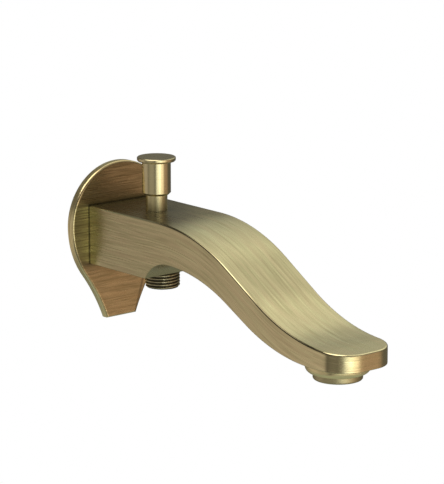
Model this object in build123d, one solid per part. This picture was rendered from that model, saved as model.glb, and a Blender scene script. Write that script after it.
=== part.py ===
from build123d import *
from math import acos, degrees, sqrt
import os

# Wall-mounted bath spout with a lift-up diverter knob and a hose outlet below.
# Millimetres. X = 0 is the wall, +X runs out over the bath, +Z is up.
# The origin is where the inlet axis meets the wall.

# How far a cut runs past the face that it opens
cut_past = 1.0

# Wall flange: a round top that narrows through two curved shoulders to a flat foot
flange_thickness = 5.0
flange_radius = 37.0
flange_centre_height = 5.3
shoulder_radius = 52.0
shoulder_angle = 36.5
foot_width = 22.4
foot_depth = 54.1
flange_edge_radius = 1.4
flange_rim = 3.0
flange_web = 2.0
gasket_gap = 0.3

# Cast body seen from the side
body_half_height = 17.8
cove_radius = 22.5
apex_x = 77.5
apex_height = -6.2
top_flat_end = 70.5
top_crown_radius = 114.0
top_fall_angle = 31.2
top_straight = 30.3
top_sweep_radius = 117.0
top_tip_angle = 4.0
under_crown_radius = 108.7
under_fall_angle = 28.5
under_straight = 19.2
under_sweep_radius = 115.0
tip_x = 225.2
block_corner_radius = 1.2

# Cast body seen from above
rear_width = 49.3
tip_width = 44.0
tip_corner_radius = 17.0
top_edge_radius = 1.0
lower_edge_radius = 0.4

# Casting walls around the waterway
roof_wall = 3.0
floor_wall = 3.2
side_wall = 4.0
ramp_foot = 6.0
ramp_head = 2.0
tip_wall = 6.5
core_corner_radius = 10.0

# Pipe threads, by their outer diameters
half_inch_thread = 20.955
three_quarter_thread = 26.441
quarter_inch_thread = 13.157
thread_clearance = 0.05

# Inlet nipple
inlet_length = 15.0
inlet_bore = 14.0
inlet_collar_diameter = 33.0
inlet_collar_thickness = 4.0
inlet_socket_depth = 12.0
nipple_end_gap = 1.0
collar_clearance = 0.3
thread_chamfer = 1.0
ring_section = 1.6
ring_groove_clearance = 0.05

# Diverter chamber, from the lower seat up to the body's top
diverter_x = 39.2
lower_seat_height = -9.0
seat_land = 2.2
lower_seat_bore = 12.0
chamber_diameter = 22.0
valve_travel = 7.0
seat_gap = 0.05
upper_seat_land = 1.5
upper_seat_bore = 13.0
gallery_height = 6.0
gallery_diameter = 18.0
bush_ledge = 1.0
ledge_bore = 10.8
passage_width = 20.0

# Guide bush and its seals
bush_neck_diameter = 13.0
bush_neck_height = 19.2
bush_gasket_thickness = 0.8
bush_chamfer = 0.6
neck_seam = 0.1
spindle_diameter = 6.0
running_clearance = 0.05
spindle_ring_section = 1.78
spindle_ring_clearance = 0.03
lower_ring_height = 2.6
ring_spacing = 4.0

# Knob
neck_exposed = 9.2
knob_barrel_diameter = 17.2
knob_cap_diameter = 23.2
knob_height = 22.75
knob_cap_thickness = 2.7
knob_cap_rounding = 1.3
knob_cap_bevel = 0.4
knob_skirt_chamfer = 1.4
knob_skirt_clearance = 0.1
knob_roof = 4.7
spindle_top_diameter = 5.0
spindle_top_length = 3.3
knob_hole_gap = 0.3

# Valve stack on the spindle
valve_diameter = 17.0
valve_washer_thickness = 1.5
carrier_thickness = 1.4
spindle_foot_diameter = 4.0
stack_clearance = 0.03
nut_across_flats = 6.0
nut_thickness = 1.7

# Return spring
spring_diameter = 8.4
spring_wire = 0.6
spring_turns = 6.5

# Hose outlet
hose_x = 44.4
hose_thread_drop = 10.6
hose_bore = 15.0
hose_relief_depth = 0.9
hose_relief_below = 0.8
hose_relief_above = 0.6
hose_washer_thickness = 1.2

# Outlet boss and aerator
outlet_from_tip = 26.7
boss_diameter = 37.2
boss_depth = 6.4
boss_rounding = 4.0
aerator_thread = 24.0
aerator_thread_length = 6.6
aerator_collar_diameter = 28.2
aerator_collar_height = 3.8
aerator_edge_radius = 1.2
aerator_lip = 1.0
aerator_lip_bore = 19.2
aerator_bore = 21.2
aerator_washer_thickness = 1.6
outlet_throat = 18.8
cartridge_clearance = 0.1
cartridge_height = 8.0
jet_size = 1.5
jet_pitch = 2.1
screen_thickness = 0.5
screen_rim = 1.4
screen_hole = 1.2
screen_pitch = 2.4


# Heights and places worked out from the sizes above
body_rear = flange_thickness
cove_drop = apex_height + body_half_height
block_front = apex_x - sqrt(cove_radius ** 2 - (cove_radius - cove_drop) ** 2)
outlet_x = tip_x - outlet_from_tip
stack_height = 2 * valve_washer_thickness + carrier_thickness
stack_foot = lower_seat_height + seat_gap
stack_top = stack_foot + stack_height
chamber_roof = stack_top + valve_travel + seat_gap
gallery_floor = chamber_roof + upper_seat_land
gallery_roof = gallery_floor + gallery_height
ledge_top = gallery_roof + bush_ledge
bush_foot = ledge_top + bush_gasket_thickness
bush_top = body_half_height + bush_neck_height
knob_foot = body_half_height + neck_exposed
knob_top = knob_foot + knob_height
knob_ceiling = knob_top - knob_roof
hose_socket_top = lower_seat_height - seat_land
hose_nipple_top = hose_socket_top - hose_washer_thickness
hose_foot = -body_half_height - hose_thread_drop
inlet_socket_end = body_rear + inlet_socket_depth


def upright(diameter, low, high, x=0.0):
    blank = Cylinder(diameter / 2, high - low, align=(Align.CENTER, Align.CENTER, Align.MIN))
    return Pos(x, 0, low) * blank


def level(diameter, back, front):
    blank = Cylinder(diameter / 2, front - back, align=(Align.CENTER, Align.CENTER, Align.MIN))
    return Pos(back, 0, 0) * Rot(0, 90, 0) * blank


def falling_line(start, radii, fall_angle, straight, tip_angle, end_x):
    # The S shape of the slab: a crown, a straight fall, a sweep back and a level or near-level tip
    crown = JernArc(start, (1, 0), radii[0], -fall_angle)
    fall = Line(crown @ 1, (crown @ 1) + (crown % 1) * straight)
    sweep_back = JernArc(fall @ 1, crown % 1, radii[1], fall_angle - tip_angle)
    reach = max(end_x - (sweep_back @ 1).X, cut_past)
    direction = sweep_back % 1
    tip = Line(sweep_back @ 1, (sweep_back @ 1) + direction * (reach / direction.X))
    return [crown, fall, sweep_back, tip]


def top_line(wall, end_x):
    start = (top_flat_end, body_half_height - wall)
    radii = (top_crown_radius - wall, top_sweep_radius + wall)
    return falling_line(start, radii, top_fall_angle, top_straight, top_tip_angle, end_x)


def under_line(wall, end_x):
    start = (apex_x, apex_height + wall)
    radii = (under_crown_radius + wall, under_sweep_radius - wall)
    return falling_line(start, radii, under_fall_angle, under_straight, 0, end_x)


def side_profile():
    top = top_line(0, tip_x)
    under = under_line(0, tip_x)
    cove_angle = degrees(acos((cove_radius - cove_drop) / cove_radius))
    cove = JernArc((apex_x, apex_height), (-1, 0), cove_radius, cove_angle)
    foot_corner = (block_front, -body_half_height)
    outline = [Line((body_rear, body_half_height), (top_flat_end, body_half_height))]
    outline += top
    outline += [Line(top[-1] @ 1, under[-1] @ 1)]
    outline += under
    outline += [cove, Line(cove @ 1, (body_rear, -body_half_height))]
    outline += [Line((body_rear, -body_half_height), (body_rear, body_half_height))]
    face = make_face(outline)
    return fillet(face.vertices().sort_by_distance((*foot_corner, 0))[0], block_corner_radius)


def plan_outline(rear, front, rear_half, front_half, corner_radius):
    corners = [(rear, rear_half), (front, front_half), (front, -front_half), (rear, -rear_half)]
    face = make_face(Polyline(*corners, close=True))
    return fillet(face.vertices().group_by(Axis.X)[-1], corner_radius)


def half_width(x):
    share = (x - body_rear) / (tip_x - body_rear)
    return (rear_width + (tip_width - rear_width) * share) / 2


def across(face):
    return extrude(Plane.XZ * face, rear_width, both=True)


def through(face):
    return extrude(face, 2 * foot_depth, both=True)


def tip_underside():
    # Height of the level stretch of the underside, which carries the outlet boss
    return (under_line(0, tip_x)[-1] @ 0).Y


# Spout body: one brass casting, with the waterway left by its core

def outer_casting():
    plan = plan_outline(body_rear, tip_x, rear_width / 2, tip_width / 2, tip_corner_radius)
    casting = across(side_profile()) & through(plan)
    casting = casting.solid()
    lengthwise = casting.edges().filter_by(Axis.Y, reverse=True).filter_by(Axis.Z, reverse=True)
    lengthwise = [edge for edge in lengthwise if edge.center().X > body_rear + 0.01]
    nose = [edge for edge in casting.edges().filter_by(Axis.Y) if edge.center().X > tip_x - 0.01]
    upper = [edge for edge in lengthwise + nose if edge.center().Z > middle_height(edge.center().X)]
    casting = fillet(upper, top_edge_radius)
    lengthwise = casting.edges().filter_by(Axis.Y, reverse=True).filter_by(Axis.Z, reverse=True)
    lower = [edge for edge in lengthwise if is_sharp_lower(edge)]
    nose = [edge for edge in casting.edges().filter_by(Axis.Y) if is_sharp_lower(edge)]
    nose = [edge for edge in nose if edge.center().X > tip_x - 0.01]
    return fillet(lower + nose, lower_edge_radius)


def middle_height(x):
    # A level between the top and the underside at this distance from the wall
    if x < apex_x:
        return 0.0
    fall = (body_half_height - apex_height) / 2
    low = tip_underside() + tip_thickness() / 2
    high = body_half_height - fall
    share = min(max((x - apex_x) / (outlet_x - apex_x), 0.0), 1.0)
    eased = share * share * (3 - 2 * share)
    return high + (low - high) * eased


def tip_thickness():
    return (top_line(0, tip_x)[-1] @ 0).Y - tip_underside()


def is_sharp_lower(edge):
    middle = edge.center()
    on_side = abs(abs(middle.Y) - half_width(middle.X)) < 0.02 or middle.X > tip_x - tip_corner_radius
    below = middle.Z < middle_height(middle.X)
    return middle.X > body_rear + 0.01 and on_side and below


def waterway_core():
    roof = top_line(roof_wall, tip_x - tip_wall)
    floor = under_line(floor_wall, tip_x - tip_wall)
    core_end = tip_x - tip_wall
    ramp_top = (block_front + ramp_head, body_half_height - roof_wall)
    ramp_low = (block_front - ramp_foot, gallery_roof)
    outline = [Polyline(roof[0] @ 0, ramp_top, ramp_low, (diverter_x, gallery_roof))]
    gallery_end = (block_front, gallery_floor)
    outline += [Polyline((diverter_x, gallery_roof), (diverter_x, gallery_floor), gallery_end)]
    outline += [Line(gallery_end, floor[0] @ 0)]
    outline += floor[:-1] + roof[:-1]
    floor_corner = (core_end, (floor[-1] @ 0).Y)
    roof_corner = (core_end, (roof[-1] @ 0).Y)
    outline += [Polyline(floor[-1] @ 0, floor_corner, roof_corner, roof[-1] @ 0)]
    side = across(make_face(outline))
    neck_half = gallery_diameter / 2
    wide = half_width(block_front) - side_wall
    end_half = half_width(core_end) - side_wall
    corners = [(diverter_x, neck_half), (block_front, wide), (core_end, end_half)]
    corners += [(x, -y) for x, y in reversed(corners)]
    plan = make_face(Polyline(*corners, close=True))
    plan = fillet(plan.vertices().group_by(Axis.X)[-1], core_corner_radius)
    return side & through(plan)


def spout_body():
    body = outer_casting()
    boss_floor = tip_underside()
    boss_foot = boss_floor - boss_depth
    boss = upright(boss_diameter, boss_foot, boss_floor + floor_wall, outlet_x)
    boss_rim = boss.edges().filter_by(GeomType.CIRCLE).group_by(Axis.Z)[0]
    boss = fillet(boss_rim, boss_rounding)
    body = body + boss
    body -= waterway_core()
    # Inlet socket and the passage to the diverter chamber
    body -= level(three_quarter_thread + 2 * thread_clearance, body_rear, inlet_socket_end)
    chamber_height = chamber_roof - lower_seat_height
    passage_length = diverter_x - inlet_socket_end
    passage = Box(passage_length, passage_width, chamber_height, align=(Align.MIN, Align.CENTER, Align.MIN))
    body -= Pos(inlet_socket_end, 0, lower_seat_height) * passage
    # Diverter bores, from the bottom up
    body -= upright(chamber_diameter, lower_seat_height, chamber_roof, diverter_x)
    body -= upright(lower_seat_bore, hose_socket_top, lower_seat_height, diverter_x)
    body -= upright(upper_seat_bore, chamber_roof, gallery_floor, diverter_x)
    body -= upright(gallery_diameter, gallery_floor, gallery_roof, diverter_x)
    body -= upright(ledge_bore, gallery_roof, ledge_top, diverter_x)
    bush_socket = quarter_inch_thread + 2 * thread_clearance
    body -= upright(bush_socket, ledge_top, body_half_height + cut_past, diverter_x)
    # Hose nipple socket
    hose_socket = half_inch_thread + 2 * thread_clearance
    body -= upright(hose_socket, -body_half_height - cut_past, hose_socket_top, hose_x)
    # Aerator socket, its washer seat and the throat up into the waterway
    seat_height = boss_foot + aerator_thread_length + aerator_washer_thickness
    body -= upright(aerator_thread + 2 * thread_clearance, boss_foot - cut_past, seat_height, outlet_x)
    body -= upright(outlet_throat, seat_height - cut_past, boss_floor + floor_wall + cut_past, outlet_x)
    return body


# Wall flange with a recessed back that holds a soft gasket

def flange_outline(inset=0.0):
    # Half outline from the crown down to the foot, mirrored
    inner_radius = flange_radius - inset
    side_radius = shoulder_radius - inset
    crown = (0, flange_centre_height + inner_radius)
    widest = (inner_radius, flange_centre_height)
    round_top = JernArc(crown, (1, 0), inner_radius, -90)
    shoulder = JernArc(widest, (0, -1), side_radius, -shoulder_angle)
    foot = (foot_width / 2 - inset, -foot_depth + inset)
    flare = TangentArc(shoulder @ 1, foot, tangent=shoulder % 1)
    half = make_face([round_top, shoulder, flare, Polyline(foot, (0, foot[1]), crown)])
    return half + mirror(half, Plane.YZ)


def wall_sheet(face, back, front):
    # Local x, y of the outline become Y, Z on the wall
    return Pos(back, 0, 0) * extrude(Plane.YZ * face, front - back)


def wall_flange():
    plate = wall_sheet(flange_outline(), 0, flange_thickness).solid()
    front_rim = plate.faces().sort_by(Axis.X)[-1].edges()
    plate = fillet(front_rim, flange_edge_radius)
    recess = wall_sheet(flange_outline(flange_rim), -cut_past, flange_thickness - flange_web)
    hole = inlet_collar_diameter + 2 * collar_clearance
    recess -= level(hole + 2 * flange_rim, -2 * cut_past, flange_thickness)
    plate -= recess
    return plate - level(hole, -cut_past, flange_thickness + cut_past)


def flange_gasket():
    sheet = wall_sheet(flange_outline(flange_rim + gasket_gap), 0, flange_thickness - flange_web)
    hole = inlet_collar_diameter + 2 * collar_clearance + 2 * flange_rim + 2 * gasket_gap
    return sheet - level(hole, -cut_past, flange_thickness)


# Inlet nipple: screwed into the body, and into the pipe fitting in the wall

def inlet_nipple():
    collar_back = body_rear - inlet_collar_thickness
    socket_end = inlet_socket_end - nipple_end_gap
    wall_thread = level(half_inch_thread, collar_back - inlet_length, collar_back)
    wall_thread = chamfer(wall_thread.edges().group_by(Axis.X)[0], thread_chamfer)
    body_thread = level(three_quarter_thread, body_rear, socket_end)
    body_thread = chamfer(body_thread.edges().group_by(Axis.X)[-1], thread_chamfer)
    nipple = wall_thread + level(inlet_collar_diameter, collar_back, body_rear) + body_thread
    nipple -= level(inlet_bore, collar_back - inlet_length - cut_past, socket_end + cut_past)
    groove = ring_section + 2 * ring_groove_clearance
    outer = level(inlet_ring_mean() + groove, body_rear - ring_section, body_rear + cut_past)
    inner = level(inlet_ring_mean() - groove, body_rear - ring_section, body_rear + cut_past)
    return nipple - (outer - inner)


def inlet_ring_mean():
    # The ring lies midway between the body thread and the collar's edge
    return (three_quarter_thread + 2 * thread_clearance + inlet_collar_diameter) / 2


def inlet_o_ring():
    ring = Torus(inlet_ring_mean() / 2, ring_section / 2 - ring_groove_clearance / 2)
    return Pos(body_rear - ring_section / 2, 0, 0) * Rot(0, 90, 0) * ring


# Hose nipple: screwed into the block from below, with a flat washer above it

def hose_nipple():
    nipple = upright(half_inch_thread, hose_foot, hose_nipple_top, hose_x)
    nipple = chamfer(nipple.edges().group_by(Axis.Z)[0], thread_chamfer)
    # Relief groove where the hose thread ends, at the block's underside
    relief_low = -body_half_height - hose_relief_below
    relief_high = -body_half_height + hose_relief_above
    relief = upright(half_inch_thread + 2 * cut_past, relief_low, relief_high, hose_x)
    core = half_inch_thread - 2 * hose_relief_depth
    relief -= upright(core, relief_low - cut_past, relief_high + cut_past, hose_x)
    nipple -= relief
    return nipple - upright(hose_bore, hose_foot - cut_past, hose_nipple_top + cut_past, hose_x)


def hose_nipple_washer():
    washer = upright(half_inch_thread, hose_nipple_top, hose_socket_top, hose_x)
    return washer - upright(hose_bore, hose_nipple_top - cut_past, hose_socket_top + cut_past, hose_x)


# Guide bush: the fixed neck under the knob, screwed into the body's top

def spindle_ring_heights():
    first = bush_foot + lower_ring_height
    return [first, first + ring_spacing]


def guide_bush():
    seam = body_half_height - neck_seam
    bush = upright(quarter_inch_thread, bush_foot, seam, diverter_x)
    neck = upright(bush_neck_diameter, seam, bush_top, diverter_x)
    neck = chamfer(neck.edges().group_by(Axis.Z)[-1], bush_chamfer)
    bush += neck
    spindle_bore = spindle_diameter + 2 * running_clearance
    bush -= upright(spindle_bore, bush_foot - cut_past, bush_top + cut_past, diverter_x)
    groove_diameter = spindle_diameter + 2 * spindle_ring_clearance + 2 * spindle_ring_section
    for height in spindle_ring_heights():
        low = height - spindle_ring_section / 2 - ring_groove_clearance
        high = height + spindle_ring_section / 2 + ring_groove_clearance
        bush -= upright(groove_diameter + 2 * ring_groove_clearance, low, high, diverter_x)
    return bush


def spindle_o_ring(height):
    mean_radius = spindle_diameter / 2 + spindle_ring_clearance + spindle_ring_section / 2
    return Pos(diverter_x, 0, height) * Torus(mean_radius, spindle_ring_section / 2)


def bush_gasket():
    gasket = upright(quarter_inch_thread, ledge_top, bush_foot, diverter_x)
    return gasket - upright(ledge_bore, ledge_top - cut_past, bush_foot + cut_past, diverter_x)


# Knob: a turned cap and skirt that slides over the bush's neck

def knob():
    cap_foot = knob_top - knob_cap_thickness
    barrel = upright(knob_barrel_diameter, knob_foot, knob_top - knob_cap_thickness / 2, diverter_x)
    barrel = chamfer(barrel.edges().group_by(Axis.Z)[0], knob_skirt_chamfer)
    cap = upright(knob_cap_diameter, cap_foot, knob_top, diverter_x)
    cap = chamfer(cap.edges().group_by(Axis.Z)[-1], knob_cap_bevel)
    cap = fillet(cap.edges().group_by(Axis.Z)[0], knob_cap_rounding)
    piece = barrel + cap
    skirt_bore = bush_neck_diameter + 2 * knob_skirt_clearance
    piece -= upright(skirt_bore, knob_foot - cut_past, knob_ceiling, diverter_x)
    hole_top = knob_ceiling + spindle_top_length + knob_hole_gap
    hole = spindle_top_diameter + 2 * thread_clearance
    return piece - upright(hole, knob_ceiling - cut_past, hole_top, diverter_x)


def spindle():
    nut_foot = stack_foot - nut_thickness
    rod = upright(spindle_diameter, stack_top, knob_ceiling, diverter_x)
    rod += upright(spindle_top_diameter, knob_ceiling, knob_ceiling + spindle_top_length, diverter_x)
    return rod + upright(spindle_foot_diameter, nut_foot, stack_top, diverter_x)


def stack_ring(low, thickness):
    # A disc of the valve stack, bored to slip over the spindle's foot
    ring = upright(valve_diameter, low, low + thickness, diverter_x)
    bore = spindle_foot_diameter + 2 * stack_clearance
    return ring - upright(bore, low - cut_past, low + thickness + cut_past, diverter_x)


def lower_valve_washer():
    return stack_ring(stack_foot, valve_washer_thickness)


def valve_carrier():
    return stack_ring(stack_foot + valve_washer_thickness, carrier_thickness)


def upper_valve_washer():
    return stack_ring(stack_foot + valve_washer_thickness + carrier_thickness, valve_washer_thickness)


def spindle_nut():
    hexagon = RegularPolygon(nut_across_flats / 2, 6, major_radius=False)
    nut_foot = stack_foot - nut_thickness
    nut = Pos(diverter_x, 0, nut_foot) * extrude(hexagon, nut_thickness)
    bore = spindle_foot_diameter + 2 * stack_clearance
    return nut - upright(bore, nut_foot - cut_past, stack_foot + cut_past, diverter_x)


def return_spring():
    low = stack_top + spring_wire / 2
    high = bush_foot - spring_wire / 2
    path = Helix((high - low) / spring_turns, high - low, spring_diameter / 2)
    start = Plane(path @ 0, z_dir=path % 0)
    coil = sweep(start * Circle(spring_wire / 2), path)
    return Pos(diverter_x, 0, low) * coil


# Aerator: housing, jet cartridge, screen and washer

def aerator_heights():
    collar_top = tip_underside() - boss_depth
    collar_foot = collar_top - aerator_collar_height
    return collar_foot, collar_top, collar_top + aerator_thread_length


def aerator_housing():
    foot, collar_top, thread_top = aerator_heights()
    collar = upright(aerator_collar_diameter, foot, collar_top, outlet_x)
    collar = fillet(collar.edges().group_by(Axis.Z)[0], aerator_edge_radius)
    housing = collar + upright(aerator_thread, collar_top, thread_top, outlet_x)
    housing -= upright(aerator_lip_bore, foot - cut_past, thread_top + cut_past, outlet_x)
    return housing - upright(aerator_bore, foot + aerator_lip, thread_top + cut_past, outlet_x)


def grid_spots(pitch, reach):
    # Places of a square grid that lie within this distance of its middle
    count = int(reach // pitch) + 1
    steps = [step * pitch for step in range(-count, count + 1)]
    return [(x, y) for x in steps for y in steps if (x * x + y * y) ** 0.5 <= reach]


def aerator_cartridge():
    foot = aerator_heights()[0] + aerator_lip
    diameter = aerator_bore - 2 * cartridge_clearance
    block = upright(diameter, foot, foot + cartridge_height, outlet_x)
    reach = aerator_lip_bore / 2 - jet_size
    jets = [Pos(x, y) * Rectangle(jet_size, jet_size) for x, y in grid_spots(jet_pitch, reach)]
    through_length = cartridge_height + 2 * cut_past
    channels = Pos(outlet_x, 0, foot - cut_past) * extrude(Sketch() + jets, through_length)
    return block - channels


def aerator_screen():
    foot = aerator_heights()[0] + aerator_lip + cartridge_height
    diameter = aerator_bore - 2 * cartridge_clearance
    disc = upright(diameter, foot, foot + screen_thickness, outlet_x)
    reach = diameter / 2 - screen_rim - screen_hole / 2
    holes = [Pos(x, y) * Rectangle(screen_hole, screen_hole) for x, y in grid_spots(screen_pitch, reach)]
    through_length = screen_thickness + 2 * cut_past
    return disc - Pos(outlet_x, 0, foot - cut_past) * extrude(Sketch() + holes, through_length)


def aerator_washer():
    low = aerator_heights()[2]
    high = low + aerator_washer_thickness
    washer = upright(aerator_thread, low, high, outlet_x)
    return washer - upright(outlet_throat, low - cut_past, high + cut_past, outlet_x)


ring_heights = spindle_ring_heights()
pieces = {
    "spout_body": spout_body(),
    "wall_flange": wall_flange(),
    "flange_gasket": flange_gasket(),
    "inlet_nipple": inlet_nipple(),
    "inlet_o_ring": inlet_o_ring(),
    "hose_nipple": hose_nipple(),
    "hose_nipple_washer": hose_nipple_washer(),
    "guide_bush": guide_bush(),
    "bush_gasket": bush_gasket(),
    "spindle_o_ring_lower": spindle_o_ring(ring_heights[0]),
    "spindle_o_ring_upper": spindle_o_ring(ring_heights[1]),
    "knob": knob(),
    "spindle": spindle(),
    "upper_valve_washer": upper_valve_washer(),
    "valve_carrier": valve_carrier(),
    "lower_valve_washer": lower_valve_washer(),
    "spindle_nut": spindle_nut(),
    "return_spring": return_spring(),
    "aerator_housing": aerator_housing(),
    "aerator_cartridge": aerator_cartridge(),
    "aerator_screen": aerator_screen(),
    "aerator_washer": aerator_washer(),
}

os.makedirs("parts", exist_ok=True)
for name, piece in pieces.items():
    export_step(piece, f"parts/{name}.step")
    print(name, "volume", round(piece.volume, 1), "mm3")
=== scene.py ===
import bpy
import math
import numpy as np
from mathutils import Matrix, Vector


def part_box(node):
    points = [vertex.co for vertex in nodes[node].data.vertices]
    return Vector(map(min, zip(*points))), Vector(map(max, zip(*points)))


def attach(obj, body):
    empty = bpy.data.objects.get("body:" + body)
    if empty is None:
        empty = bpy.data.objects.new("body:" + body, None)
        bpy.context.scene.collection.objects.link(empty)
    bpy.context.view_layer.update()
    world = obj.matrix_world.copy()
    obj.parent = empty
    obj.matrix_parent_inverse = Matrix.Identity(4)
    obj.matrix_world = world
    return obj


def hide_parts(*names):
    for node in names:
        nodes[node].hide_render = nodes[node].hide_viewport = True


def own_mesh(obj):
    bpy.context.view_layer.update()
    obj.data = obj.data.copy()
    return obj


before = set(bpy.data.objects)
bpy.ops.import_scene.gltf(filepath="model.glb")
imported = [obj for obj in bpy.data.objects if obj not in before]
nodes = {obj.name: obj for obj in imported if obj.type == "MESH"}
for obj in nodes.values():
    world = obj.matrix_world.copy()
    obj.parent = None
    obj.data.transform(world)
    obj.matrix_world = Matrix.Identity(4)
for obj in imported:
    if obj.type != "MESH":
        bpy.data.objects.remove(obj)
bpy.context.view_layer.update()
print("frame loaded:", len(nodes), "nodes")

mm = 0.001


# Node trees

def emptyTree(block):
    # The cleared node tree of a material or a world
    block.use_nodes = True
    block.node_tree.nodes.clear()
    return block.node_tree


def addNode(tree, kind, inputs=None, **settings):
    # Sets plain values by socket index or name, and links what is a socket
    node = tree.nodes.new(kind)
    for key, value in settings.items():
        setattr(node, key, value)
    for key, value in (inputs or {}).items():
        if isinstance(value, bpy.types.NodeSocket):
            tree.links.new(value, node.inputs[key])
        else:
            node.inputs[key].default_value = value
    return node


def maths(tree, operation, *values):
    return addNode(tree, "ShaderNodeMath", dict(enumerate(values)), operation=operation).outputs[0]


def product(tree, first, *others):
    for other in others:
        first = maths(tree, "MULTIPLY", first, other)
    return first


def total(tree, first, *others):
    for other in others:
        first = maths(tree, "ADD", first, other)
    return first


def remainder(tree, share):
    # What a share leaves of 1
    return maths(tree, "SUBTRACT", 1.0, share)


def sloped(tree, value, start, end, low=0.0, high=1.0, slope="LINEAR"):
    # low up to start and high from end on, with a straight slope between
    return addNode(tree, "ShaderNodeMapRange", {"Value": value, "From Min": start, "From Max": end,
                                                "To Min": low, "To Max": high},
                   interpolation_type=slope).outputs["Result"]


def eased(tree, value, start, end, low=0.0, high=1.0):
    # low up to start and high from end on, with a soft step between
    return sloped(tree, value, start, end, low, high, "SMOOTHSTEP")


def band(tree, value, rise, fall, height=1.0):
    # height inside and 0 outside, with a soft step up over rise and down over fall
    return product(tree, eased(tree, value, *rise), eased(tree, value, *fall, 0.0, height))


def blend(tree, share, first, second):
    return addNode(tree, "ShaderNodeMix", {0: share, 2: first, 3: second}).outputs[0]


def blendTones(tree, share, first, second):
    return addNode(tree, "ShaderNodeMix", {0: share, 6: first, 7: second}, data_type="RGBA").outputs[2]


def scaled(tree, vector, factor):
    return addNode(tree, "ShaderNodeVectorMath", {0: vector, "Scale": factor},
                   operation="SCALE").outputs["Vector"]


def opaque(tone):
    return (*tone, 1)


# Meshes

def addPiece(name, points, faces):
    # Points in metres, with the object itself at the origin
    mesh = bpy.data.meshes.new(name)
    mesh.from_pydata(points, [], faces)
    piece = bpy.data.objects.new(name, mesh)
    bpy.context.scene.collection.objects.link(piece)
    return piece


def ringQuads(rings, around, closed):
    # Each ring's points are joined to the next ring's, and the last ring's to the first where closed
    i, j = np.meshgrid(np.arange(rings if closed else rings - 1), np.arange(around), indexing="ij")
    ring, nextRing, nextPoint = i * around, (i + 1) % rings * around, (j + 1) % around
    corners = [ring + j, ring + nextPoint, nextRing + nextPoint, nextRing + j]
    return np.stack(corners, axis=-1).reshape(-1, 4).tolist()


def smoothPiece(piece, degrees):
    # Smooth, apart from edges sharper than this angle
    mesh = piece.data
    mesh.polygons.foreach_set("use_smooth", np.ones(len(mesh.polygons), bool))
    mesh.update()
    mesh.set_sharp_from_angle(angle=math.radians(degrees))


def faceOutwards(piece):
    # The volume, a sixth of the sum of the triangles' triple products, is above 0 where
    # the faces point outwards
    mesh = piece.data
    mesh.calc_loop_triangles()
    places = np.zeros(len(mesh.vertices) * 3)
    mesh.vertices.foreach_get("co", places)
    triangles = np.zeros(len(mesh.loop_triangles) * 3, int)
    mesh.loop_triangles.foreach_get("vertices", triangles)
    a, b, c = places.reshape(-1, 3)[triangles.reshape(-1, 3)].transpose(1, 0, 2)
    volume = np.einsum("ij,ij->i", a, np.cross(b, c)).sum() / 6
    if volume < 0:
        mesh.flip_normals()
    print(piece.name, "volume", round(abs(volume) / mm ** 3, 1), "mm3")


# Studio: a white room, with soft panels that the metal mirrors

studio = {
    "ambient": (0.13, 0.125, 0.11),
    "backdrop": (1.0, 1.0, 1.0),
    "panels": {
        # toward is (azimuth, elevation) in degrees, azimuth 0 along +X and 90 along +Y;
        # the tone is full within inner degrees of it and gone beyond outer
        "overhead": {"toward": (60, 72), "inner": 30, "outer": 56, "tone": (0.30, 0.29, 0.26)},
        "behindSpout": {"toward": (115, 45), "inner": 18, "outer": 38, "tone": (0.56, 0.59, 0.51)},
        "overNearEdge": {"toward": (-95, 68), "inner": 16, "outer": 34, "tone": (2.2, 2.1, 1.9)},
        "beforeCamera": {"toward": (-23, -8), "inner": 9, "outer": 23, "tone": (1.6, 1.65, 1.5)},
        "besideCamera": {"toward": (1, -8), "inner": 9, "outer": 25, "tone": (1.4, 1.29, 1.05)},
        "nearSide": {"toward": (-137, -16), "inner": 13, "outer": 34, "tone": (0.41, 0.36, 0.32)},
        "leftOfCamera": {"toward": (-78, -8), "inner": 14, "outer": 31, "tone": (0.31, 0.29, 0.245)},
        "below": {"toward": (0, -88), "inner": 25, "outer": 60, "tone": (0.17, 0.205, 0.17)},
        "warmCorner": {"toward": (32, -16), "inner": 16, "outer": 35, "tone": (0.34, 0.21, 0.135)},
    },
}

floorPlan = {"drop": 2.5, "half": 15.0, "tone": (1.0, 1.0, 1.0)}  # m

view = {
    "azimuth": 49.526,  # degrees, as the photograph is taken
    "elevation": 12.705,
    "place": (1175.42, -918.25, 326.95),  # mm
    "focalPixels": 2500,
    "longSidePixels": 484,
    "sensor": 36,  # mm
    "clip": (0.05, 50),  # m
}


def directionOf(azimuth, elevation):
    a, e = math.radians(azimuth), math.radians(elevation)
    return (math.cos(a) * math.cos(e), math.sin(a) * math.cos(e), math.sin(e))


def makeStudio():
    # Each panel's tone is eased in by the cosine between the ray and the panel's direction
    world = bpy.data.worlds.new("studio")
    bpy.context.scene.world = world
    tree = emptyTree(world)
    direction = addNode(tree, "ShaderNodeTexCoord").outputs["Generated"]
    glow = studio["ambient"]
    for panel in studio["panels"].values():
        cosine = addNode(tree, "ShaderNodeVectorMath", {0: direction, 1: directionOf(*panel["toward"])},
                         operation="DOT_PRODUCT").outputs["Value"]
        outer, inner = (math.cos(math.radians(panel[limit])) for limit in ("outer", "inner"))
        tone = scaled(tree, panel["tone"], eased(tree, cosine, outer, inner))
        glow = addNode(tree, "ShaderNodeVectorMath", {0: glow, 1: tone}, operation="ADD").outputs["Vector"]
    room = addNode(tree, "ShaderNodeBackground", {"Color": glow})
    backdrop = addNode(tree, "ShaderNodeBackground", {"Color": opaque(studio["backdrop"])})
    seen = addNode(tree, "ShaderNodeLightPath").outputs["Is Camera Ray"]
    mix = addNode(tree, "ShaderNodeMixShader", {0: seen, 1: room.outputs[0], 2: backdrop.outputs[0]})
    addNode(tree, "ShaderNodeOutputWorld", {"Surface": mix.outputs[0]})


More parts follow.
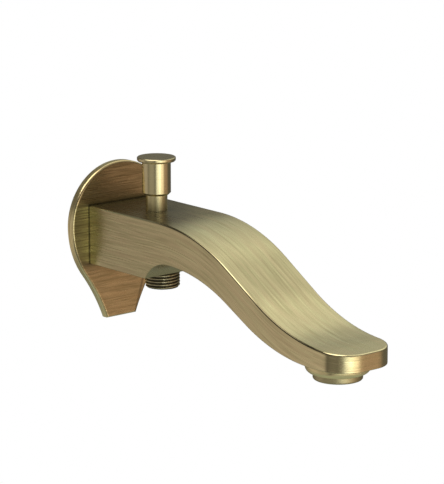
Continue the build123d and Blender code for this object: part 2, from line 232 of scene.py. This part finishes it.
def makeFloor():
    # A level sheet of even tone, which the metal doesn't mirror
    half, low = floorPlan["half"], -floorPlan["drop"]
    corners = [(-half, -half, low), (half, -half, low), (half, half, low), (-half, half, low)]
    floor = addPiece("floor", corners, [(0, 1, 2, 3)])
    paper = bpy.data.materials.new("floorPaper")
    tree = emptyTree(paper)
    glow = addNode(tree, "ShaderNodeEmission", {"Color": opaque(floorPlan["tone"]), "Strength": 1.0})
    addNode(tree, "ShaderNodeOutputMaterial", {"Surface": glow.outputs[0]})
    floor.data.materials.append(paper)
    floor.visible_glossy = False
    floor.visible_diffuse = False
    floor.visible_shadow = False


def makeCamera():
    # The camera looks against back, and right is level
    right = Vector(directionOf(view["azimuth"], 0))
    back = Vector(directionOf(view["azimuth"] - 90, view["elevation"]))
    turn = Matrix((right, back.cross(right), back)).transposed().to_4x4()
    data = bpy.data.cameras.new("camera")
    data.sensor_width = view["sensor"]
    data.lens = view["focalPixels"] * view["sensor"] / view["longSidePixels"]
    data.clip_start, data.clip_end = view["clip"]
    camera = bpy.data.objects.new("camera", data)
    camera.matrix_world = Matrix.Translation(Vector(view["place"]) * mm) @ turn
    bpy.context.scene.collection.objects.link(camera)
    bpy.context.scene.camera = camera


makeStudio()
makeFloor()
makeCamera()
bpy.context.scene.view_settings.view_transform = "Standard"
print("studio, floor and camera made")


# Places on a piece, for its grain and its painted light and shade, all in mm

axisPlaces = {"diverter": (39.2, 0, 0), "hose": (44.4, 0, 0), "outlet": (198.5, 0, 0), "inlet": (0, 0, 0)}

turnRadius = 10.0  # an angle round an axis counts as a length at this radius


def objectAxes(tree, centre=(0, 0, 0)):
    # Object coordinates in mm, with the piece's own centre moved to the origin
    spot = addNode(tree, "ShaderNodeTexCoord").outputs["Object"]
    moved = addNode(tree, "ShaderNodeMapping", {"Vector": spot, "Location": [-c for c in centre],
                                                "Scale": [1 / mm] * 3})
    return addNode(tree, "ShaderNodeSeparateXYZ", {0: moved.outputs[0]}).outputs


def normalParts(tree):
    normal = addNode(tree, "ShaderNodeNewGeometry").outputs["Normal"]
    return addNode(tree, "ShaderNodeSeparateXYZ", {0: normal}).outputs


def turnedTo(tree, axis):
    # How squarely the surface faces along this axis, either way
    return maths(tree, "ABSOLUTE", normalParts(tree)[axis])


def facing(tree, axis, low=0.55, high=0.8):
    # 1 where the surface faces along this axis
    return sloped(tree, turnedTo(tree, axis), low, high)


def distance(tree, first, second):
    # The root of the sum of both squares
    return maths(tree, "SQRT", total(tree, product(tree, first, first), product(tree, second, second)))


def turnedGrain(place, axis):
    # Rings round the axis: the angle runs along them, and the height or the radius crosses them
    def grain(tree):
        parts = objectAxes(tree, axisPlaces[place])
        level = [parts[i] for i in range(3) if i != axis]
        around = product(tree, maths(tree, "ARCTAN2", *level), turnRadius)
        return around, blend(tree, facing(tree, axis), parts[axis], distance(tree, *level))
    return grain


# Brushed metal: long strokes, finer scratches, stretched patches of other plating and a fine bump

brushing = {
    "streak": {"seed": 3.7, "detail": 3.0},
    "fine": {"seed": 11.3, "detail": 2.0},
    "patch": {"seed": 7.9, "detail": 2.0},
    "noiseRoughness": 0.6,
    "strokeSpan": (0.3, 0.7),  # of the noise, from a stroke's dark to its light
    "patchSpan": (0.4, 0.65),  # of the noise, from no patch to a full one
    "middle": 0.6,  # the plain tone, from 0, dark, to 1, light
    "fineShare": 0.5,  # of the long strokes' contrast
    "polishSpan": (0.3, 0.9),  # of the tone, from rough to smooth
}


def brushedMetal(name, look, grain, paintedLightAndSeams=None, edges=None, dullness=None, tinge=None):
    material = bpy.data.materials.new(name)
    tree = emptyTree(material)
    along, across = grain(tree)

    def strokes(kind, span, low=0.0, high=1.0):
        # Noise that is stretched along the grain, for the strokes or patches of this kind
        spot = addNode(tree, "ShaderNodeCombineXYZ",
                       {0: maths(tree, "DIVIDE", along, look[kind + "Length"]),
                        1: maths(tree, "DIVIDE", across, look[kind + "Width"]), 2: brushing[kind]["seed"]})
        noise = addNode(tree, "ShaderNodeTexNoise",
                        {"Vector": spot.outputs[0], "Scale": 1.0, "Detail": brushing[kind]["detail"],
                         "Roughness": brushing["noiseRoughness"]})
        return sloped(tree, noise.outputs["Fac"], *brushing[span], low, high)

    streak = strokes("streak", "strokeSpan")
    scratch = strokes("fine", "strokeSpan")
    contrast = look["streakShare"]
    tone = brushing["middle"]  # the strokes swing about it, as far to the dark as to the light
    for stroke, share in ((streak, contrast), (scratch, contrast * brushing["fineShare"])):
        tone = maths(tree, "MULTIPLY_ADD", maths(tree, "SUBTRACT", stroke, 0.5), share, tone)
    colour = blendTones(tree, tone, opaque(look["dark"]), opaque(look["light"]))
    patched = strokes("patch", "patchSpan", 0.0, look["patchShare"])
    colour = blendTones(tree, patched, colour, opaque(look["patch"]))
    # An olive or grey tinge, mixed in by its share
    if tinge:
        tint = blendTones(tree, tinge(tree), (1, 1, 1, 1), opaque(look["tinge"]))
        colour = addNode(tree, "ShaderNodeVectorMath", {0: colour, 1: tint}, operation="MULTIPLY").outputs[0]
    # Painted light and shade, and dark joints at seams, scale the colour
    if paintedLightAndSeams:
        colour = scaled(tree, colour, paintedLightAndSeams(tree))
    roughness = sloped(tree, tone, *brushing["polishSpan"], look["rough"], look["smooth"])
    # Rubbed edges are smoother, and lighter in colour as a painted highlight
    if edges:
        rubbedAndHighlit = edges(tree)
        roughness = blend(tree, rubbedAndHighlit, roughness, look["edgeRoughness"])
        colour = scaled(tree, colour, maths(tree, "MULTIPLY_ADD", rubbedAndHighlit, look["edgePaintedHighlight"], 1.0))
    if dullness:
        roughness = blend(tree, dullness(tree), roughness, look["dullRoughness"])
    bump = addNode(tree, "ShaderNodeBump", {"Height": total(tree, streak, scratch), "Strength": 1.0,
                                            "Distance": look["bump"] * mm})
    shader = addNode(tree, "ShaderNodeBsdfPrincipled", {"Base Color": colour, "Metallic": 1.0,
                                                        "Roughness": roughness, "Normal": bump.outputs[0]})
    addNode(tree, "ShaderNodeOutputMaterial", {"Surface": shader.outputs[0]})
    return material


# The painted light and shade tell how light the finish is at a place, 1 being the plain finish. Their steps
# are (start, end, value up to the start, value from the end on), with the values 0 and 1 where none are
# given, and their bands are (step up, step down, height). They run over mm, or over how squarely the surface
# faces an axis

# Spout body

spoutLine = {  # the top of the slab seen from the side, mm and degrees
    "height": 17.8,
    "flatEnd": 70.5,
    "crownRadius": 114.0,
    "fall": 31.2,
    "straight": 30.3,
    "sweepRadius": 117.0,
    "tipFall": 4.0,
    "end": 225.2,
    "curvePoints": 15,
}

bodyLook = {
    "light": (0.66, 0.595, 0.355), "dark": (0.41, 0.355, 0.195), "patch": (0.61, 0.495, 0.305),
    "streakWidth": 0.9, "streakLength": 34, "fineWidth": 0.35, "fineLength": 12,
    "patchWidth": 2.6, "patchLength": 26, "patchShare": 0.62, "streakShare": 0.7,
    "smooth": 0.22, "rough": 0.36, "bump": 0.012,
    "topSpread": 0.55,  # on the top the strokes are wider, by 1 over this
    "tinge": (0.95, 1.0, 0.93), "tinged": (17, 9),
    # The lengthwise, corner, neck and rear edge steps and the boss's lightness are painted light and shade;
    # the seam step is a dark joint
    "lengthwise": (20, 220, 0.80, 1.22), "corner": (6, 16.5, 1.75, 1.0), "seam": (5.3, 6.1, 0.42, 1.0),
    "neck": (6.6, 13.5, 0.68, 1.0),
    "edgeRoughness": 0.12, "edgePaintedHighlight": 0.2, "edgeTurn": ((0.12, 0.35), (0.985, 0.93)),
    "edgeAbove": (0.1, 0.22), "tipEdge": (200, 209), "rearEdge": (78, 62, 0.0, 1.1),
    "boss": (-42.5, -43.2), "bossPaintedLight": 0.5, "dullRoughness": 0.45,
}

# A painted dark reflection beside the body's rubbed edge
darkLine = {  # beside the body's rubbed edge, and wide on the crown and the sweep
    "crown": ((70, 84), (130, 114)), "sweep": ((142, 158), (207, 200)),
    "narrowStart": (0.78, 0.88), "wideStart": (0.22, 0.4), "end": (0.998, 0.985), "above": (0.03, 0.07),
    "rearStrength": (55, 85, 0.1, 0.58), "frontStrength": (120, 150, 0.0, 0.17),
}

# Painted dark reflections on the top
topPaintedShade = {  # near the wall, on the steepest part and by the tip
    "slant": 0.85, "rear": (50, 88, 0.52, 0.0), "steep": ((118, 132), (162, 148), 0.14),
    "tip": ((180, 194), (214, 202), 0.24), "upward": (0.6, 0.85),
}

# Painted dark reflection down each corner of the tip
tipCorner = {"turn": ((0.72, 0.82), (0.99, 0.96)), "along": (206, 209, 0.0, 0.47), "upward": (0.2, 0.4)}


def topHeights(x):
    # Height of the slab's top at x: level, then a falling arc, a straight, a sweep back and
    # a nearly level tip
    fall, tipFall = math.radians(spoutLine["fall"]), math.radians(spoutLine["tipFall"])
    crown, sweep = spoutLine["crownRadius"], spoutLine["sweepRadius"]
    crownEnd = spoutLine["flatEnd"] + crown * math.sin(fall)
    straightEnd = crownEnd + spoutLine["straight"] * math.cos(fall)
    sweepEnd = straightEnd + sweep * (math.sin(fall) - math.sin(tipFall))
    bent = np.clip(x - spoutLine["flatEnd"], 0, crownEnd - spoutLine["flatEnd"])
    drop = crown - np.sqrt(crown ** 2 - bent ** 2)
    drop += np.clip(x - crownEnd, 0, straightEnd - crownEnd) * math.tan(fall)
    swept = np.clip(x, straightEnd, sweepEnd) - straightEnd
    drop += np.sqrt(sweep ** 2 - (sweep * math.sin(fall) - swept) ** 2) - sweep * math.cos(fall)
    drop += np.maximum(x - sweepEnd, 0) * math.tan(tipFall)
    return spoutLine["height"] - drop


def spoutGrain(tree):
    # Along the spout, and across it: over Y on the top, and down from the top line on the sides.
    # A curve gives the top line's height, from 1 at the wall, its highest, to 0 at the tip, its lowest
    x, y, z = objectAxes(tree)
    ends = np.linspace(0, spoutLine["end"], spoutLine["curvePoints"])
    heights = topHeights(ends)
    low, high = heights.min(), heights.max()
    curve = addNode(tree, "ShaderNodeFloatCurve", {"Value": maths(tree, "DIVIDE", x, spoutLine["end"])})
    points = curve.mapping.curves[0].points
    points[0].location = (0, 1)
    points[1].location = (1, 0)
    for end, height in zip(ends[1:-1], heights[1:-1]):
        points.new(end / spoutLine["end"], (height - low) / (high - low))
    curve.mapping.update()
    top = maths(tree, "MULTIPLY_ADD", curve.outputs[0], high - low, low)
    depth = maths(tree, "SUBTRACT", top, z)
    along = maths(tree, "SUBTRACT", x, maths(tree, "ABSOLUTE", y))
    flat = facing(tree, 2)
    return (blend(tree, flat, along, x),
            blend(tree, flat, depth, product(tree, y, bodyLook["topSpread"])))


def bodyEdges(tree):
    # 1 on the rubbed edges between the slab's top and its sides, and round the tip, which are smoother and
    # carry a painted highlight
    x = objectAxes(tree)[0]
    normal = normalParts(tree)
    forward = product(tree, normal[0], eased(tree, x, *bodyLook["tipEdge"]))
    aside = maths(tree, "MAXIMUM", maths(tree, "ABSOLUTE", normal[1]), forward)
    return product(tree, band(tree, aside, *bodyLook["edgeTurn"]),
                   eased(tree, normal[2], *bodyLook["edgeAbove"]))


def bossDullness(tree):
    # 1 on the outlet boss, below the slab's underside, which is rougher and carries painted light
    return eased(tree, objectAxes(tree)[2], *bodyLook["boss"])


def bodyTinge(tree):
    # Olive beside the flange
    return eased(tree, objectAxes(tree)[0], *bodyLook["tinged"])


def besideEdge(tree):
    # A painted dark reflection line beside the rubbed edge: it starts where the side turns
    # away far enough, and its strength goes by the place along the spout
    x = objectAxes(tree)[0]
    aside = turnedTo(tree, 1)
    wide = total(tree, band(tree, x, *darkLine["sweep"]), band(tree, x, *darkLine["crown"]))
    narrowStart, wideStart = (eased(tree, aside, *darkLine[step]) for step in ("narrowStart", "wideStart"))
    rear, front = (eased(tree, x, *darkLine[step]) for step in ("rearStrength", "frontStrength"))
    return product(tree, blend(tree, wide, narrowStart, wideStart), eased(tree, aside, *darkLine["end"]),
                   eased(tree, normalParts(tree)[2], *darkLine["above"]), total(tree, rear, front))


def paintedShadeOnTop(tree):
    # Painted dark reflections on the top: the part near the wall ends slantwise over the top, and bands lie
    # on the steepest part and by the tip
    spot = objectAxes(tree)
    rear = eased(tree, maths(tree, "MULTIPLY_ADD", spot[1], topPaintedShade["slant"], spot[0]), *topPaintedShade["rear"])
    shaded = total(tree, rear, *(band(tree, spot[0], *topPaintedShade[part]) for part in ("steep", "tip")))
    return product(tree, shaded, eased(tree, normalParts(tree)[2], *topPaintedShade["upward"]))


def onTipCorner(tree):
    # A painted dark reflection, a band down each corner of the tip
    return product(tree, band(tree, turnedTo(tree, 1), *tipCorner["turn"]),
                   eased(tree, objectAxes(tree)[0], *tipCorner["along"]),
                   remainder(tree, facing(tree, 2, *tipCorner["upward"])))


def bodyPaintedLightAndSeam(tree):
    # Painted light and shade: darker near the wall and lighter towards the tip, painted light in the corner
    # by the flange and on the outlet boss, painted highlights on the rear edges, painted shade round the
    # knob's neck, and painted dark reflections beside the edges, on the top and down the tip's corners. The
    # dark line along the flange's seam is a joint
    x = objectAxes(tree)[0]
    fromNeck = objectAxes(tree, axisPlaces["diverter"])
    rearEdge = product(tree, bodyEdges(tree), eased(tree, x, *bodyLook["rearEdge"]))
    return product(
        tree,
        sloped(tree, x, *bodyLook["lengthwise"]),
        eased(tree, distance(tree, fromNeck[0], fromNeck[1]), *bodyLook["neck"]),
        sloped(tree, x, *bodyLook["corner"]),
        eased(tree, x, *bodyLook["seam"]),
        remainder(tree, besideEdge(tree)),
        maths(tree, "MULTIPLY_ADD", bossDullness(tree), bodyLook["bossPaintedLight"], 1.0),
        total(tree, 1.0, rearEdge),
        remainder(tree, paintedShadeOnTop(tree)),
        remainder(tree, onTipCorner(tree)),
    )


# Wall flange

flangeLook = {
    "light": (0.62, 0.50, 0.29), "dark": (0.36, 0.27, 0.14), "patch": (0.44, 0.33, 0.17),
    "streakWidth": 0.9, "streakLength": 26, "fineWidth": 0.35, "fineLength": 10,
    "patchWidth": 2.5, "patchLength": 16, "patchShare": 0.5, "streakShare": 1.35,
    "smooth": 0.27, "rough": 0.42, "bump": 0.014, "tinge": (0.94, 1.03, 1.03),
    "bodyHalfWidth": 24.65, "bodyHalfHeight": 17.8, "besideBody": (3, 0),
    # The face, beside-body and rim lightness and the downward step paint light and shade; the seam step is a
    # dark joint
    "faceLight": 1.05, "besideLight": 0.64, "seam": (0.3, 1.1, 0.55, 1.0),
    "rim": (0.5, 0.2), "rimLight": (10, -30, 1.7, 2.2), "downwards": (35, -45, 0.70, 0.99),
    "edgeRoughness": 0.16, "edgePaintedHighlight": 0.75, "edgeTurn": ((0.1, 0.3), (0.99, 0.93)),
    "lineSlope": 0.296, "linePlace": 26.2, "lineWidth": (1.3, 0.4, 0.0, 0.4), "lineTop": (-24, -30),
}


def flangeGrain(tree):
    # Level strokes on the face, and strokes round the rim
    x, y, z = objectAxes(tree)
    face = facing(tree, 0)
    return blend(tree, face, total(tree, y, z), y), blend(tree, face, x, z)


def fromSection(tree):
    # How far a place on the flange lies beside the body's section, and above or below it
    spot = objectAxes(tree)
    halves = ((spot[1], flangeLook["bodyHalfWidth"]), (spot[2], flangeLook["bodyHalfHeight"]))
    return [maths(tree, "MAXIMUM", maths(tree, "SUBTRACT", maths(tree, "ABSOLUTE", part), half), 0)
            for part, half in halves]


def besideBody(tree):
    # 1 on the face, level with the body's section
    above = fromSection(tree)[1]
    return product(tree, eased(tree, above, *flangeLook["besideBody"]), facing(tree, 0))


def flangeRim(tree):
    # 1 on the rim, all round
    return eased(tree, turnedTo(tree, 0), *flangeLook["rim"])


def flangeEdges(tree):
    # 1 on the rubbed edge between the face and the rim, which is smoother and carries a painted highlight
    return band(tree, normalParts(tree)[0], *flangeLook["edgeTurn"])


def flangeTinge(tree):
    # Greyer beside the body and on the rim
    return maths(tree, "MAXIMUM", besideBody(tree), flangeRim(tree))


def flangeLine(tree):
    # The dark line beside the foot's far edge, which leans outwards as it rises
    spot = objectAxes(tree)
    edge = maths(tree, "MULTIPLY_ADD", spot[2], flangeLook["lineSlope"], flangeLook["linePlace"])
    fromLine = maths(tree, "ABSOLUTE", maths(tree, "SUBTRACT", spot[1], edge))
    return product(tree, eased(tree, fromLine, *flangeLook["lineWidth"]),
                   eased(tree, spot[2], *flangeLook["lineTop"]))


def flangePaintedLightAndSeam(tree):
    # Painted shade on the face beside the body's section, painted light on the rim, and painted shade that
    # eases off from the crown down to the foot; also a dark joint along its seam and a dark line beside the
    # foot's edge
    z = objectAxes(tree)[2]
    return product(
        tree,
        blend(tree, besideBody(tree), flangeLook["faceLight"], flangeLook["besideLight"]),
        eased(tree, distance(tree, *fromSection(tree)), *flangeLook["seam"]),
        blend(tree, flangeRim(tree), 1.0, sloped(tree, z, *flangeLook["rimLight"])),
        sloped(tree, z, *flangeLook["downwards"]),
        remainder(tree, flangeLine(tree)),
    )


# Turned pieces

turnedStrokes = {
    "streakWidth": 0.35, "streakLength": 60, "fineWidth": 0.16, "fineLength": 40,
    "patchWidth": 5, "patchLength": 9, "patchShare": 0.25, "streakShare": 0.3,
}

knobLook = {
    **turnedStrokes,
    "light": (0.66, 0.59, 0.375), "dark": (0.50, 0.43, 0.25), "patch": (0.55, 0.46, 0.26),
    "smooth": 0.19, "rough": 0.28, "bump": 0.003,
}

neckLook = {
    **turnedStrokes,
    "light": (0.74, 0.66, 0.40), "dark": (0.56, 0.48, 0.27), "patch": (0.54, 0.46, 0.26),
    "smooth": 0.30, "rough": 0.37, "bump": 0.002,
}

outletLook = {
    **turnedStrokes,
    "light": (0.62, 0.56, 0.35), "dark": (0.45, 0.39, 0.23), "patch": (0.46, 0.39, 0.225),
    "patchWidth": 3, "patchShare": 0.3, "streakShare": 0.5,
    "smooth": 0.42, "rough": 0.52, "bump": 0.005,
}

# The groove step paints shade in the grooves and a highlight on the crests
threadLook = {
    "light": (0.58, 0.53, 0.37), "dark": (0.36, 0.32, 0.20), "patch": (0.36, 0.31, 0.19),
    "streakWidth": 0.5, "streakLength": 30, "fineWidth": 0.2, "fineLength": 20,
    "patchWidth": 2, "patchLength": 6, "patchShare": 0.1, "streakShare": 0.1,
    "smooth": 0.40, "rough": 0.50, "bump": 0.001, "groove": (9.4, 10.4, 0.22, 1.2),
}

rawBrassLook = {
    "light": (0.80, 0.66, 0.36), "dark": (0.66, 0.50, 0.24), "patch": (0.62, 0.44, 0.20),
    "streakWidth": 0.4, "streakLength": 60, "fineWidth": 0.2, "fineLength": 40,
    "patchWidth": 4, "patchLength": 8, "patchShare": 0.3, "streakShare": 0.5,
    "smooth": 0.18, "rough": 0.32, "bump": 0.004,
}


def threadPaintedShade(tree):
    # Painted shade, nearly black, in the grooves and a painted highlight on the crests
    parts = objectAxes(tree, axisPlaces["hose"])
    return eased(tree, distance(tree, parts[0], parts[1]), *threadLook["groove"])


# Rubber, fibre, foam and plastic, and the drawn steel of the spring and the screen

softLooks = {  # the grain and the bump are in mm
    "sealRubber": {"dark": (0.012, 0.012, 0.012), "light": (0.03, 0.03, 0.03),
                   "grain": 0.4, "rough": 0.6, "bump": 0.02, "metallic": 0.0},
    "redFibre": {"dark": (0.28, 0.04, 0.025), "light": (0.42, 0.08, 0.05),
                 "grain": 0.3, "rough": 0.8, "bump": 0.02, "metallic": 0.0},
    "greyFoam": {"dark": (0.03, 0.03, 0.033), "light": (0.06, 0.06, 0.066),
                 "grain": 0.5, "rough": 0.9, "bump": 0.05, "metallic": 0.0},
    "whiteJets": {"dark": (0.62, 0.62, 0.60), "light": (0.76, 0.76, 0.74),
                  "grain": 1.5, "rough": 0.45, "bump": 0.005, "metallic": 0.0},
    "springSteel": {"dark": (0.42, 0.42, 0.43), "light": (0.60, 0.60, 0.61),
                    "grain": 0.8, "rough": 0.3, "bump": 0.004, "metallic": 1.0},
}

mottling = {"detail": 4.0, "roughnessSpread": 0.08}


def softMaterial(name, look):
    # Two near tones with fine mottling and a slight grain
    material = bpy.data.materials.new(name)
    tree = emptyTree(material)
    spot = addNode(tree, "ShaderNodeTexCoord").outputs["Object"]
    mottle = addNode(tree, "ShaderNodeTexNoise", {"Vector": spot, "Scale": 1 / (look["grain"] * mm),
                                                  "Detail": mottling["detail"]}).outputs["Fac"]
    colour = blendTones(tree, mottle, opaque(look["dark"]), opaque(look["light"]))
    spread = mottling["roughnessSpread"]
    roughness = sloped(tree, mottle, 0.0, 1.0, look["rough"] - spread, look["rough"] + spread)
    bump = addNode(tree, "ShaderNodeBump", {"Height": mottle, "Strength": 1.0, "Distance": look["bump"] * mm})
    shader = addNode(tree, "ShaderNodeBsdfPrincipled", {"Base Color": colour, "Metallic": look["metallic"],
                                                        "Roughness": roughness, "Normal": bump.outputs[0]})
    addNode(tree, "ShaderNodeOutputMaterial", {"Surface": shader.outputs[0]})
    return material


# Each finish, and the nodes that have it

metals = {
    "spoutBronze": (bodyLook, spoutGrain, bodyPaintedLightAndSeam, bodyEdges, bossDullness, bodyTinge),
    "flangeBronze": (flangeLook, flangeGrain, flangePaintedLightAndSeam, flangeEdges, None, flangeTinge),
    "knobBronze": (knobLook, turnedGrain("diverter", 2)),
    "neckBronze": (neckLook, turnedGrain("diverter", 2)),
    "outletBronze": (outletLook, turnedGrain("outlet", 2)),
    "hoseBronze": (threadLook, turnedGrain("hose", 2), threadPaintedShade),
    "inletBrass": (rawBrassLook, turnedGrain("inlet", 0)),
    "stackBrass": (rawBrassLook, turnedGrain("diverter", 2)),
}

finishes = {name: softMaterial(name, look) for name, look in softLooks.items()}
finishes.update({name: brushedMetal(name, *plan) for name, plan in metals.items()})

nodeFinishes = {
    "spout_body": "spoutBronze", "wall_flange": "flangeBronze", "flange_gasket": "greyFoam",
    "inlet_nipple": "inletBrass", "inlet_o_ring": "sealRubber", "hose_nipple": "hoseBronze",
    "hose_nipple_washer": "redFibre", "guide_bush": "neckBronze", "bush_gasket": "redFibre",
    "spindle_o_ring_lower": "sealRubber", "spindle_o_ring_upper": "sealRubber", "knob": "knobBronze",
    "spindle": "stackBrass", "upper_valve_washer": "sealRubber", "valve_carrier": "stackBrass",
    "lower_valve_washer": "sealRubber", "spindle_nut": "stackBrass", "return_spring": "springSteel",
    "aerator_housing": "outletBronze", "aerator_cartridge": "whiteJets", "aerator_screen": "springSteel",
    "aerator_washer": "sealRubber",
}

for nodeName, finish in nodeFinishes.items():
    for materialSlot in nodes[nodeName].material_slots:
        materialSlot.material = finishes[finish]
print("finishes made:", len(finishes))


# Threaded nipples: a profile carried round an axis, with a helical thread raised on part of it

thread = {  # mm, and shares of the pitch or of the depth
    "pitch": 1.814, "depth": 1.162, "crest": 10.4775, "crestShare": 0.22, "rootShare": 0.22,
    "fade": 0.9, "runoutShare": 0.15,
}

hoseNipple = {
    "centre": (44.4, 0, 0), "axis": 2, "foot": -28.4, "threadTop": -18.6, "grooveTop": -17.2, "top": -12.4,
    "bore": 7.5, "groove": 9.5775, "chamfer": 1.0, "edge": 0.3, "around": 128, "rowsPerPitch": 14,
}

inletNipple = {
    "centre": (0, 0, 0), "axis": 0, "foot": -14.0, "threadTop": 0.2, "collar": (1.0, 5.0, 16.5), "top": 16.0,
    "bodyThread": 13.2205, "bore": 7.0, "chamfer": 1.0, "edge": 0.3, "around": 128, "rowsPerPitch": 14,
}

nippleSharpness = 32  # degrees


def threadLift(turn):
    # 0 at the root and 1 at the crest: flat, straight flank, flat, straight flank
    saw = np.abs((turn % 1.0) * 2 - 1)
    return np.clip((saw - thread["rootShare"]) / (1 - thread["rootShare"] - thread["crestShare"]), 0, 1)


def threadRows(plan):
    # Rows up the thread: the radius widens over the chamfer, and the thread fades in from the foot
    # and out towards its top
    foot, top = plan["foot"], plan["threadTop"]
    count = int((top - foot) / thread["pitch"] * plan["rowsPerPitch"])
    heights = np.linspace(foot, top, count + 1)
    radii = thread["crest"] - plan["chamfer"] + np.minimum(heights - foot, plan["chamfer"])
    start = np.clip((heights - foot) / thread["fade"], 0, 1)
    end = np.clip((top - heights) / thread["fade"] + thread["runoutShare"], 0, 1)
    return list(zip(heights, radii, start * end))


def turnedMesh(name, plan, rows):
    # rows are (height, radius, thread share) and close on themselves, so no edge is open. A point lies at
    # its row's radius, less the thread's depth by how far the helix there is from its crest
    heights, radii, shares = np.array(rows, float).T[:, :, None]
    angle = np.linspace(0, 2 * math.pi, plan["around"], endpoint=False)[None, :]
    height = heights + 0 * angle
    lift = threadLift(height / thread["pitch"] - angle / (2 * math.pi))
    radius = radii - thread["depth"] * shares * (1 - lift)
    across, up = radius * np.cos(angle), radius * np.sin(angle)
    parts = [across, up, height] if plan["axis"] == 2 else [height, across, up]
    points = (np.stack(parts, axis=-1) + np.array(plan["centre"])).reshape(-1, 3) * mm
    return addPiece(name, points.tolist(), ringQuads(len(rows), plan["around"], closed=True))


def makeNipple(name, plan, outside):
    # The closed profile: the bore's mouth, the thread, what follows it outside, and the bore again
    rows = [(plan["foot"], plan["bore"] + plan["edge"], 0)] + threadRows(plan)
    rows += [(height, radius, 0) for height, radius in outside]
    rows += [(plan["top"], plan["bore"], 0), (plan["foot"] + plan["edge"], plan["bore"], 0)]
    piece = turnedMesh(name, plan, rows)
    smoothPiece(piece, nippleSharpness)
    faceOutwards(piece)
    return piece


def makeHoseNipple():
    # A plain groove above the thread, and then the thread's outer diameter up to the top
    plan = hoseNipple
    return makeNipple("hoseThread", plan, [
        (plan["threadTop"], plan["groove"]), (plan["grooveTop"], plan["groove"]),
        (plan["grooveTop"], thread["crest"]), (plan["top"], thread["crest"]),
    ])


def makeInletNipple():
    # A round collar above the thread, and then the plain end that screws into the body
    plan = inletNipple
    low, high, collar = plan["collar"]
    root, edge = thread["crest"] - thread["depth"], plan["edge"]
    return makeNipple("inletThread", plan, [
        (plan["threadTop"], root), (low, root), (low, collar - edge), (low + edge, collar), (high, collar),
        (high, plan["bodyThread"]), (plan["top"] - plan["chamfer"], plan["bodyThread"]),
        (plan["top"], plan["bodyThread"] - plan["chamfer"]),
    ])


for piece, node, finish, slotName in ((makeHoseNipple(), "hose_nipple", "hoseBronze", "thread_bronze"),
                                      (makeInletNipple(), "inlet_nipple", "inletBrass", "raw_brass")):
    piece.data.materials.append(finishes[finish])
    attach(piece, "spout")
    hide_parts(node)
print("threaded nipples made")


# Return spring, between the bush and the valve stack: it is made at one length, though lifting the knob
# shortens it

springPlan = {
    "centre": (39.2, 0), "radius": 4.2, "wire": 0.3, "turns": 6.5, "pointsPerTurn": 36, "around": 10,
    "travel": 7.0, "sharpness": 60,
}


def makeSpring():
    # A circle carried along a helix: the centre turns and rises, and the circle lies across its tangent
    plan = springPlan
    lowest, highest = (corner.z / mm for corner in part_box("return_spring"))
    low, high = lowest + plan["wire"], highest - plan["wire"]
    radius = plan["radius"]
    turn = np.linspace(0, plan["turns"] * 2 * math.pi, int(plan["turns"] * plan["pointsPerTurn"]) + 1)
    outward = np.stack([np.cos(turn), np.sin(turn), 0 * turn], axis=-1)
    rise = (high - low) / turn[-1]
    tangent = np.stack([-radius * np.sin(turn), radius * np.cos(turn), rise + 0 * turn], axis=-1)
    tangent /= np.linalg.norm(tangent, axis=1, keepdims=True)
    across = np.cross(tangent, outward)
    middle = radius * outward + np.array([*plan["centre"], low]) + np.outer(rise * turn, (0, 0, 1))
    angle = np.linspace(0, 2 * math.pi, plan["around"], endpoint=False)[None, :, None]
    ring = np.cos(angle) * outward[:, None, :] + np.sin(angle) * across[:, None, :]
    points = (middle[:, None, :] + plan["wire"] * ring).reshape(-1, 3) * mm
    startCap = list(range(plan["around"]))[::-1]
    endCap = list(range(len(points) - plan["around"], len(points)))
    faces = ringQuads(len(turn), plan["around"], closed=False) + [startCap, endCap]
    piece = addPiece("returnSpring", points.tolist(), faces)
    smoothPiece(piece, plan["sharpness"])
    faceOutwards(piece)
    piece.data.materials.append(finishes["springSteel"])
    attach(piece, "spout")
    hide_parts("return_spring")
    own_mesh(piece)


makeSpring()
